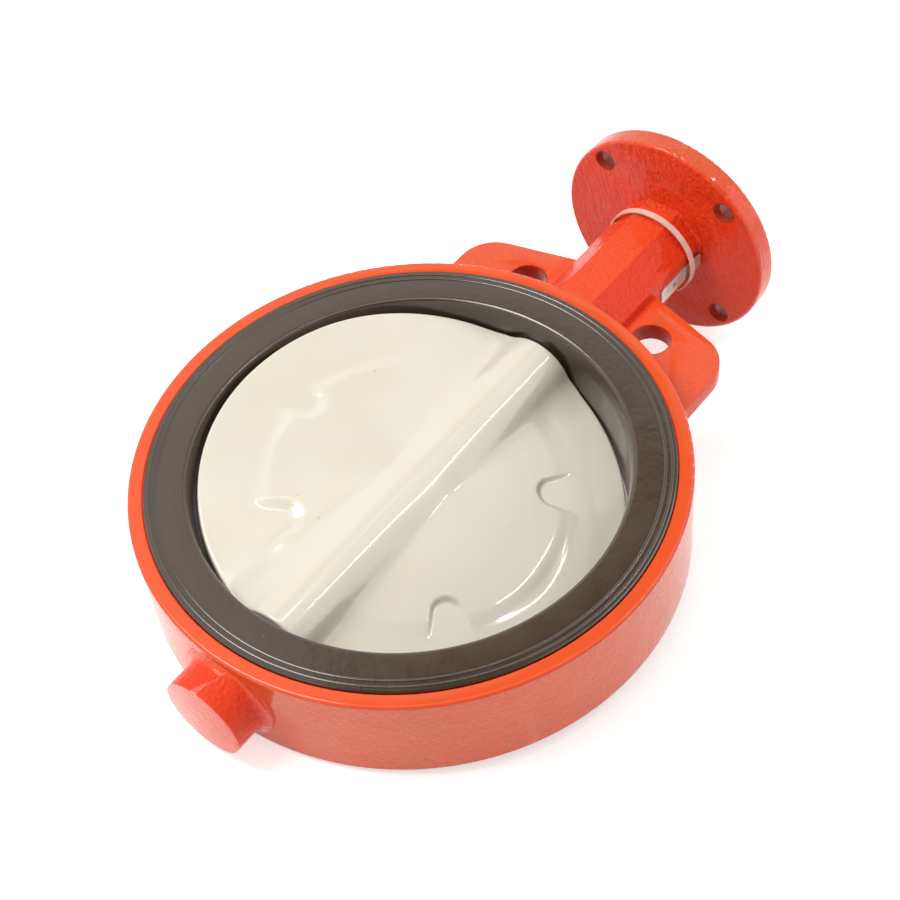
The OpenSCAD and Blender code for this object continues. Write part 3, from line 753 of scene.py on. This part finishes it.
def seat_mesh():
    """The rubber seat turned from its section, with the hub's two pads raised from the bore.

    A pad is the plane y = PAD_Y within PAD_R of the stem, and beyond that rises from it at 45 degrees;
    along each radius the bore is the nearer of pad and cylinder, rounded where they meet. The
    radius that lies on the pad is found by repeating r = (PAD_Y + rise(r)) / |sin|. Spokes lie
    closer together at the pads: angle = t + CROWDING sin 2t."""
    section = seat_section()
    t = np.arange(SEAT_SPOKES) * 2 * math.pi / SEAT_SPOKES
    angle = t + CROWDING * np.sin(2 * t)
    r = np.repeat(section[:, :1], len(angle), axis=1)
    z = np.repeat(section[:, 1:], len(angle), axis=1)
    on_pad = r
    for _ in range(8):
        off = np.hypot(on_pad * np.cos(angle), z) - PAD_R
        on_pad = (PAD_Y + smooth_max(off, 0 * off, PAD_FOOT_ROUND)) / np.maximum(np.abs(np.sin(angle)), 0.5)
    bore = np.abs(z) <= LEAD_Z + 0.01
    r = np.where(bore & (r < BORE_R + 0.01), -smooth_max(-r, -on_pad, PAD_EDGE_ROUND), r)
    return ring_mesh("moulded seat", np.stack([r * np.cos(angle), r * np.sin(angle), z], axis=-1) * MM)


def port_mesh(hole, side):
    """The rubber round one stem hole, inside the backing ring's channel and out to the seat's outside:
    its outer end follows y = sqrt(OUTER_R^2 - x^2)."""
    angle = np.arange(72) * 2 * math.pi / 72
    radius = np.array([hole, hole + PORT_WALL, hole + PORT_WALL, hole])[:, None]
    x, z = radius * np.cos(angle), radius * np.sin(angle) * side
    y = np.where(np.array([1, 1, 0, 0])[:, None], BACKING_R - 1.0, np.sqrt(OUTER_R ** 2 - x ** 2))
    return ring_mesh("seat port", np.stack([x, y * side, z], axis=-1) * MM)


# How far an edge may run inside a fillet, and how near to its arc, in radii, a point counts as on it
SAG, SLACK = 0.00003, 0.01


def fillet_place(points):
    """Where points lie in the corner of the ring's section: their radius, then how far each is
    beyond and over the centre of the corner's arc, in parts of the fillet's radius."""
    radius = np.hypot(points[:, 0], points[:, 1])
    beyond = (radius - RING_R + RING_FILLET) / RING_FILLET
    return radius, beyond, (np.abs(points[:, 2]) - RING_LEVEL) / RING_FILLET


def read_values(items, key, width, kind=float):
    """The values that items hold under key, as an array with width columns."""
    values = np.empty(len(items) * width, kind)
    items.foreach_get(key, values)
    return values.reshape(-1, width)


def refine_fillets(mesh):
    """Makes the ring's two outer fillets round, where the casting has long facets that cut across.

    Three times over, each edge whose middle lies more than SAG inside the fillet is halved, and
    the new points are pushed out to the arc: each keeps its direction from the arc's centre and is
    given the fillet's radius."""
    for _ in range(3):
        points, ends = read_values(mesh.vertices, "co", 3), read_values(mesh.edges, "vertices", 2, int)
        _, beyond, over = fillet_place(points)
        on_arc = (np.abs(np.hypot(beyond, over) - 1) < SLACK) & (beyond > -SLACK) & (over > -SLACK)
        _, beyond, over = fillet_place(points[ends].mean(axis=1))
        cuts = on_arc[ends].all(axis=1) & (np.hypot(beyond, over) < 1 - SAG / RING_FILLET)
        work = bmesh.new()
        work.from_mesh(mesh)
        work.edges.ensure_lookup_table()
        bmesh.ops.subdivide_edges(work, edges=[work.edges[i] for i in np.flatnonzero(cuts)], cuts=1)
        work.to_mesh(mesh)
        work.free()
        points = read_values(mesh.vertices, "co", 3)
        radius, beyond, over = fillet_place(points)
        reach = np.hypot(beyond, over)
        inside = (beyond > -SLACK) & (over > -SLACK) & (reach > 0.6) & (reach < 0.9999)
        beyond, over = beyond / np.where(inside, reach, 1), over / np.where(inside, reach, 1)
        grow = (RING_R + (beyond - 1) * RING_FILLET) / radius
        level = np.sign(points[:, 2]) * (RING_LEVEL + over * RING_FILLET)
        moved = np.stack([points[:, 0] * grow, points[:, 1] * grow, level], axis=-1)
        mesh.vertices.foreach_set("co", np.where(inside[:, None], moved, points).ravel())
        mesh.update()


def true_ring_normals(mesh):
    """Gives the ring's outer wall and its two fillets the normals of the true surfaces.

    The wall's normal points straight out from the ring's axis, and a fillet's from the circle that
    its arc is drawn about. Everything else keeps the normal that it has."""
    totals = read_values(mesh.polygons, "loop_total", 1, int)[:, 0]
    facing = np.repeat(read_values(mesh.polygons, "normal", 3), totals, axis=0)
    points = read_values(mesh.vertices, "co", 3)[read_values(mesh.loops, "vertex_index", 1, int)[:, 0]]
    radius, beyond, over = fillet_place(points)
    true = points / radius[:, None] * np.clip(beyond, 0, 1)[:, None]
    true[:, 2] = np.sign(points[:, 2]) * np.clip(over, 0, 1)
    true /= np.linalg.norm(true, axis=1)[:, None] + 1e-12
    wall = (np.abs(radius - RING_R) < 1e-5) & (over < SLACK)
    bend = (np.abs(np.hypot(over, beyond) - 1) < SLACK) & (over > -SLACK) & (beyond > -SLACK)
    use = (wall | bend) & ((true * facing).sum(axis=1) > 0.94)
    given = read_values(mesh.corner_normals, "vector", 3)
    mesh.normals_split_custom_set(np.where(use[:, None], true, given).tolist())


# Operators


class VALVE_OT_casting(bpy.types.Operator):
    """Rounds the casting's edges and paints it"""

    bl_idname = "valve.casting"
    bl_label = "Painted casting"

    def execute(self, context):
        settings = context.scene.valve_paint
        mesh = NODES["body"].data.copy()
        mesh.name = "painted casting"
        work = bmesh.new()
        work.from_mesh(mesh)
        bmesh.ops.remove_doubles(work, verts=work.verts, dist=1e-6)
        bmesh.ops.dissolve_limit(work, angle_limit=math.radians(0.05), verts=work.verts, edges=work.edges)
        work.to_mesh(mesh)
        work.free()
        refine_fillets(mesh)
        mesh.shade_smooth()
        piece = add_piece("painted_casting", mesh, paint_material(settings),
                          "valve_body", "body")
        edges = piece.modifiers.new("rounded edges", "BEVEL")
        edges.width = settings.round_edges
        edges.segments = 3
        edges.limit_method = "ANGLE"
        edges.angle_limit = math.radians(32)
        edges.use_clamp_overlap = True
        edges.harden_normals = True
        rounded = piece.evaluated_get(context.evaluated_depsgraph_get())
        mesh = bpy.data.meshes.new_from_object(rounded)
        piece.modifiers.clear()
        piece.data = mesh
        true_ring_normals(mesh)
        return {"FINISHED"}


class VALVE_OT_disc(bpy.types.Operator):
    """Shapes the disc's two faces and coats them"""

    bl_idname = "valve.disc"
    bl_label = "Coated disc"

    def execute(self, context):
        settings = context.scene.valve_disc
        piece = add_piece("coated_disc", disc_mesh(settings), coating_material(settings),
                          "shaft", "disc")
        cut_away(piece, stem_hole())
        piece.data.shade_smooth()
        piece.data.set_sharp_from_angle(angle=math.radians(50))
        return {"FINISHED"}


class VALVE_OT_seat(bpy.types.Operator):
    """Moulds the seat's rubber and gives the backing ring its resin"""

    bl_idname = "valve.seat"
    bl_label = "Rubber seat"

    def execute(self, context):
        colour = tuple(context.scene.valve_seat.colour)
        rubber = rubber_material("seat rubber", colour, 0.15)
        piece = add_piece("moulded_seat", seat_mesh(), rubber, "valve_body", "seat_liner")
        cut_away(piece, round_bar("stem holes", ((160.0, PORT_R), (0.0, PORT_R), (0.0, LOWER_PORT_R),
                                                 (-160.0, LOWER_PORT_R))))
        whole = bmesh.new()
        whole.from_mesh(piece.data)
        whole.from_mesh(port_mesh(PORT_R, 1))
        whole.from_mesh(port_mesh(LOWER_PORT_R, -1))
        whole.to_mesh(piece.data)
        whole.free()
        piece.data.shade_smooth()
        piece.data.set_sharp_from_angle(angle=math.radians(38))
        dress(["seat_backing_ring"], plastic_material("backing resin", (0.20, 0.10, 0.05), 0.55))
        return {"FINISHED"}


class VALVE_OT_shaft(bpy.types.Operator):
    """Finishes the stem and what turns with it"""

    bl_idname = "valve.shaft"
    bl_label = "Stem"

    def execute(self, context):
        dress(["stem"], metal_material("turned stem steel", (0.60, 0.59, 0.57), 0.22))
        dress(["split_ring"], metal_material("split ring steel", (0.52, 0.52, 0.51), 0.30))
        dress(["upper_hub_o_ring", "lower_hub_o_ring"], o_ring_rubber())
        return {"FINISHED"}


class VALVE_OT_bearings(bpy.types.Operator):
    """Finishes the bushes, seals, washers and retaining ring"""

    bl_idname = "valve.bearings"
    bl_label = "Bearings and seals"

    def execute(self, context):
        dress(["lower_bush", "middle_bush", "upper_bush"],
              plastic_material("bush plastic", (0.72, 0.66, 0.51), 0.45))
        dress(["upper_bush_o_ring", "stem_seal"], o_ring_rubber())
        dress(["seal_backup_ring"], plastic_material("backup plastic", (0.80, 0.80, 0.77), 0.40))
        dress(["thrust_pad", "lower_thrust_washer", "upper_thrust_washer"],
              metal_material("thrust bronze", (0.66, 0.46, 0.22), 0.30))
        dress(["retaining_ring"],
              metal_material("phosphated spring steel", (0.17, 0.17, 0.18), 0.42, depth=0.00001))
        return {"FINISHED"}


class VALVE_OT_tag(bpy.types.Operator):
    """Finishes the tag and its strap"""

    bl_idname = "valve.tag"
    bl_label = "Tag and strap"

    def execute(self, context):
        dress(["id_tag"], tag_material())
        dress(["tag_strap"], plastic_material("strap plastic", (0.86, 0.62, 0.54), 0.36, 0.002))
        return {"FINISHED"}


# Studio


# The ground touches the ring and the flange: its fall along y, its depth below the origin, half its width
FLOOR_TILT, FLOOR_DROP, FLOOR_HALF = 0.0971, 0.0482, 6.0
# Directions of the two dark places that reflections show, then the point the lamps are aimed at
CEILING_OPENING, ROOM_BEHIND = (-0.30, 0.42, 0.857), (0.50, -0.53, 0.685)
LAMPS_AIM = (0, 0.05, 0)
# The camera's own three axes and its place
CAMERA_RIGHT = (0.78516, 0.61426, -0.07879)
CAMERA_UP = (-0.43728, 0.63998, 0.63182)
CAMERA_BACK = (0.43853, -0.46163, 0.77110)
CAMERA_PLACE = (0.46207, -0.45123, 0.82077)


def seen_share(t):
    """1 for rays of the camera, of reflections and of refractions; then 1 for reflections alone."""
    path = t.add("ShaderNodeLightPath").outputs
    seen = t.maths("ADD", path["Is Camera Ray"], path["Is Glossy Ray"], clamp=True)
    return t.maths("ADD", seen, path["Is Transmission Ray"], clamp=True), path["Is Glossy Ray"]


def floor_material():
    """A white ground that keeps the object's shadow, brought up to the white of the backdrop for the
    camera, reflections and refractions, but not beneath the ring, where it is left darker as a painted
    shadow. Seen from below it is clear."""
    material = bpy.data.materials.new("white ground")
    material.use_nodes = True
    material.node_tree.nodes.clear()
    t = Tree(material.node_tree)
    out = t.add("ShaderNodeOutputMaterial")
    matt = t.add("ShaderNodeBsdfDiffuse", {"Color": (0.80, 0.80, 0.80, 1)})
    seen, _ = seen_share(t)
    place = t.add("ShaderNodeSeparateXYZ", {"Vector": t.add("ShaderNodeTexCoord").outputs["Object"]})
    # Painted shadow: beneath the ring the ground gets no lift and stays darker.
    beyond_painted_shadow = t.span(t.away(place.outputs["X"], place.outputs["Y"]), 0.11, 0.17)
    strength = t.times(t.times(seen, 0.60), beyond_painted_shadow)
    lift = t.add("ShaderNodeEmission", {"Color": (1, 1, 1, 1), "Strength": strength})
    white = t.add("ShaderNodeAddShader", {0: matt.outputs[0], 1: lift.outputs[0]})
    clear = t.add("ShaderNodeBsdfTransparent")
    back = t.add("ShaderNodeNewGeometry").outputs["Backfacing"]
    both = t.add("ShaderNodeMixShader", {0: back, 1: white.outputs[0], 2: clear.outputs[0]})
    t.put(out.inputs["Surface"], both.outputs[0])
    return material


def studio_world(ambient):
    """Even light from all round, and a white backdrop for the camera, reflections and refractions,
    which see a dark opening in the ceiling and the dark of the room behind the camera."""
    world = bpy.data.worlds.new("studio")
    bpy.context.scene.world = world
    world.use_nodes = True
    world.node_tree.nodes.clear()
    t = Tree(world.node_tree)
    out = t.add("ShaderNodeOutputWorld")
    seen, mirrored = seen_share(t)
    light = t.add("ShaderNodeBackground", {"Color": (1.0, 0.975, 0.93, 1), "Strength": ambient})
    way = t.add("ShaderNodeTexCoord").outputs["Generated"]

    def towards(middle):
        """1 for a ray that runs straight towards middle, and less the further off it is."""
        return t.add("ShaderNodeVectorMath", {0: way, 1: middle}, operation="DOT_PRODUCT").outputs["Value"]

    dark = t.most(t.span(towards(CEILING_OPENING), 0.979, 0.996),
                  t.span(towards(ROOM_BEHIND), 0.80, 0.90, 0.0, 0.85))
    dark = t.times(dark, mirrored)
    backdrop = t.add("ShaderNodeBackground", {
        "Color": t.blend(dark, (1.0, 1.0, 1.0), (0.10, 0.09, 0.08)), "Strength": 1.0})
    both = t.add("ShaderNodeMixShader", {0: seen, 1: light.outputs[0], 2: backdrop.outputs[0]})
    t.put(out.inputs["Surface"], both.outputs[0])


def soft_lamp(name, place, size, power, colour, along=(0, 0, 1)):
    """A rectangular lamp aimed at the valve, its second side as near to along as that allows."""
    data = bpy.data.lights.new(name, "AREA")
    data.shape = "RECTANGLE"
    data.size, data.size_y = size
    data.energy = power
    data.color = colour
    lamp = bpy.data.objects.new(name, data)
    bpy.context.scene.collection.objects.link(lamp)
    back = (Vector(place) - Vector(LAMPS_AIM)).normalized()
    right = Vector(along).cross(back).normalized()
    turn = Matrix((right, back.cross(right), back)).transposed().to_4x4()
    lamp.matrix_world = Matrix.Translation(place) @ turn


class VALVE_OT_stage(bpy.types.Operator):
    """Lays the ground the valve rests on, and sets the lamps and the camera"""

    bl_idname = "valve.stage"
    bl_label = "Studio"

    def execute(self, context):
        settings = context.scene.valve_stage
        across = Vector((1, 0, 0))
        up = Vector((0, FLOOR_TILT, 1)).normalized()
        along = up.cross(across)
        corners = [across * (FLOOR_HALF * a) + along * (FLOOR_HALF * b) - up * FLOOR_DROP
                   for a, b in ((-1, -1), (1, -1), (1, 1), (-1, 1))]
        mesh = bpy.data.meshes.new("ground")
        mesh.from_pydata([tuple(c) for c in corners], [], [(0, 1, 2, 3)])
        ground = bpy.data.objects.new("ground", mesh)
        context.scene.collection.objects.link(ground)
        mesh.materials.append(floor_material())

        studio_world(settings.ambient)
        soft_lamp("key", (-0.62, -0.40, 1.45), (0.75, 0.75), settings.key_power, (1.0, 0.98, 0.94))
        soft_lamp("fill", (1.00, 0.80, 0.35), (1.1, 0.8), settings.fill_power, (1.0, 0.97, 0.92))
        soft_lamp("tube", (-0.21, 0.20, 1.47), (0.06, 0.8), settings.tube_power, (1.0, 0.98, 0.94),
                  (0.77, 0.64, 0.0))
        soft_lamp("strip", (0.65, 0.63, 1.10), (0.05, 0.45), settings.strip_power, (1.0, 0.97, 0.92),
                  (-0.13, 0.95, -0.22))

        camera = bpy.data.objects.new("camera", bpy.data.cameras.new("camera"))
        context.scene.collection.objects.link(camera)
        camera.data.lens = settings.lens
        camera.data.sensor_width = 36.0
        camera.data.clip_start, camera.data.clip_end = 0.05, 50.0
        turn = Matrix((CAMERA_RIGHT, CAMERA_UP, CAMERA_BACK)).transposed().to_4x4()
        camera.matrix_world = Matrix.Translation(CAMERA_PLACE) @ turn
        context.scene.camera = camera
        context.scene.view_settings.view_transform = "Standard"
        return {"FINISHED"}


STEPS = (VALVE_OT_casting, VALVE_OT_disc, VALVE_OT_seat, VALVE_OT_shaft, VALVE_OT_bearings, VALVE_OT_tag,
         VALVE_OT_stage)
GROUPS = (("valve_paint", VALVE_PG_paint), ("valve_disc", VALVE_PG_disc), ("valve_seat", VALVE_PG_seat),
          ("valve_stage", VALVE_PG_stage))


class VALVE_PT_panel(bpy.types.Panel):
    """Lists the valve's pieces with their settings"""

    bl_idname = "VALVE_PT_panel"
    bl_label = "Butterfly valve"
    bl_space_type = "VIEW_3D"
    bl_region_type = "UI"
    bl_category = "Valve"

    def draw(self, context):
        for name, group in GROUPS:
            box = self.layout.box()
            for key in group.__annotations__:
                box.prop(getattr(context.scene, name), key)
        for step in STEPS:
            self.layout.operator(step.bl_idname)


def register():
    for name, group in GROUPS:
        bpy.utils.register_class(group)
        setattr(bpy.types.Scene, name, PointerProperty(type=group))
    for step in (*STEPS, VALVE_PT_panel):
        bpy.utils.register_class(step)


def unregister():
    for step in reversed((*STEPS, VALVE_PT_panel)):
        bpy.utils.unregister_class(step)
    for name, group in reversed(GROUPS):
        delattr(bpy.types.Scene, name)
        bpy.utils.unregister_class(group)


def main():
    register()
    for step in STEPS:
        package, call = step.bl_idname.split(".")
        getattr(getattr(bpy.ops, package), call)()


if __name__ == "__main__":
    main()
